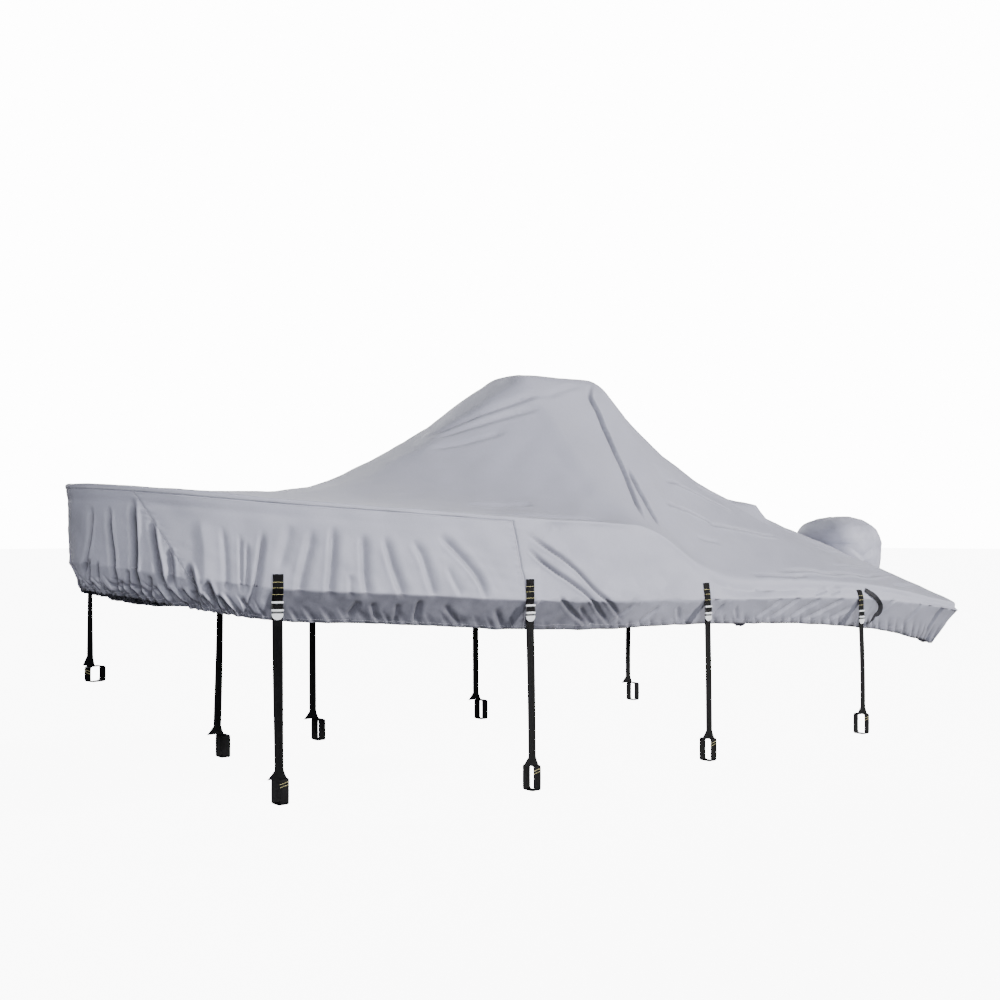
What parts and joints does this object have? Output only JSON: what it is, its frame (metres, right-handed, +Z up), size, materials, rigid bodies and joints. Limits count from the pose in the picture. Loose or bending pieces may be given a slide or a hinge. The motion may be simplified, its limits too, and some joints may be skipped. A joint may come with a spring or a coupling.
{
  "type": "fitted boat cover with motor hood",
  "caption": "Fitted trailering cover for a centre-console boat, with a raised peak, gathered hem, integrated outboard motor hood and webbing tie-down straps that end in loops.",
  "frame": {"origin": "under the middle of the flat peak, where the cover is propped up: the mount console_top", "axes": "+X runs to the stern, +Y to starboard, +Z up"},
  "size_m": [6.2152, 2.1442, 2.2305],
  "materials": {
    "bow_panel": "mid grey coated polyester",
    "bow_strap_loop": "black polypropylene webbing",
    "bow_strap_web": "black polypropylene webbing",
    "main_panel": "mid grey coated polyester",
    "motor_hood": "mid grey coated polyester",
    "side_panel_port": "mid grey coated polyester",
    "side_panel_starboard": "mid grey coated polyester",
    "stern_tape": "dark grey tape",
    "strap_buckle_port_1": "light bars on a dark frame",
    "strap_buckle_port_2": "light bars on a dark frame",
    "strap_buckle_port_3": "light bars on a dark frame",
    "strap_buckle_port_4": "light bars on a dark frame",
    "strap_buckle_starboard_1": "light bars on a dark frame",
    "strap_buckle_starboard_2": "light bars on a dark frame",
    "strap_buckle_starboard_3": "light bars on a dark frame",
    "strap_buckle_starboard_4": "light bars on a dark frame",
    "strap_loop_port_1": "black polypropylene webbing",
    "strap_loop_port_2": "black polypropylene webbing",
    "strap_loop_port_3": "black polypropylene webbing",
    "strap_loop_port_4": "black polypropylene webbing",
    "strap_loop_starboard_1": "black polypropylene webbing",
    "strap_loop_starboard_2": "black polypropylene webbing",
    "strap_loop_starboard_3": "black polypropylene webbing",
    "strap_loop_starboard_4": "black polypropylene webbing",
    "strap_patch_port_1": "black polypropylene webbing",
    "strap_patch_port_2": "black polypropylene webbing",
    "strap_patch_port_3": "black polypropylene webbing",
    "strap_patch_port_4": "black polypropylene webbing",
    "strap_patch_starboard_1": "black polypropylene webbing",
    "strap_patch_starboard_2": "black polypropylene webbing",
    "strap_patch_starboard_3": "black polypropylene webbing",
    "strap_patch_starboard_4": "black polypropylene webbing",
    "strap_web_port_1": "black polypropylene webbing",
    "strap_web_port_2": "black polypropylene webbing",
    "strap_web_port_3": "black polypropylene webbing",
    "strap_web_port_4": "black polypropylene webbing",
    "strap_web_starboard_1": "black polypropylene webbing",
    "strap_web_starboard_2": "black polypropylene webbing",
    "strap_web_starboard_3": "black polypropylene webbing",
    "strap_web_starboard_4": "black polypropylene webbing"
  },
  "bodies": {
    "root": {"bow_panel": "bow_panel", "bow_strap_loop": "bow_strap_loop", "bow_strap_web": "bow_strap_web", "main_panel": "main_panel", "motor_hood": "motor_hood", "side_panel_port": "side_panel_port", "side_panel_starboard": "side_panel_starboard", "stern_tape": "stern_tape", "strap_buckle_port_1": "strap_buckle_port_1", "strap_buckle_port_2": "strap_buckle_port_2", "strap_buckle_port_3": "strap_buckle_port_3", "strap_buckle_port_4": "strap_buckle_port_4", "strap_buckle_starboard_1": "strap_buckle_starboard_1", "strap_buckle_starboard_2": "strap_buckle_starboard_2", "strap_buckle_starboard_3": "strap_buckle_starboard_3", "strap_buckle_starboard_4": "strap_buckle_starboard_4", "strap_loop_port_1": "strap_loop_port_1", "strap_loop_port_2": "strap_loop_port_2", "strap_loop_port_3": "strap_loop_port_3", "strap_loop_port_4": "strap_loop_port_4", "strap_loop_starboard_1": "strap_loop_starboard_1", "strap_loop_starboard_2": "strap_loop_starboard_2", "strap_loop_starboard_3": "strap_loop_starboard_3", "strap_loop_starboard_4": "strap_loop_starboard_4", "strap_patch_port_1": "strap_patch_port_1", "strap_patch_port_2": "strap_patch_port_2", "strap_patch_port_3": "strap_patch_port_3", "strap_patch_port_4": "strap_patch_port_4", "strap_patch_starboard_1": "strap_patch_starboard_1", "strap_patch_starboard_2": "strap_patch_starboard_2", "strap_patch_starboard_3": "strap_patch_starboard_3", "strap_patch_starboard_4": "strap_patch_starboard_4", "strap_web_port_1": "strap_web_port_1", "strap_web_port_2": "strap_web_port_2", "strap_web_port_3": "strap_web_port_3", "strap_web_port_4": "strap_web_port_4", "strap_web_starboard_1": "strap_web_starboard_1", "strap_web_starboard_2": "strap_web_starboard_2", "strap_web_starboard_3": "strap_web_starboard_3", "strap_web_starboard_4": "strap_web_starboard_4"}
  },
  "joints": []
}
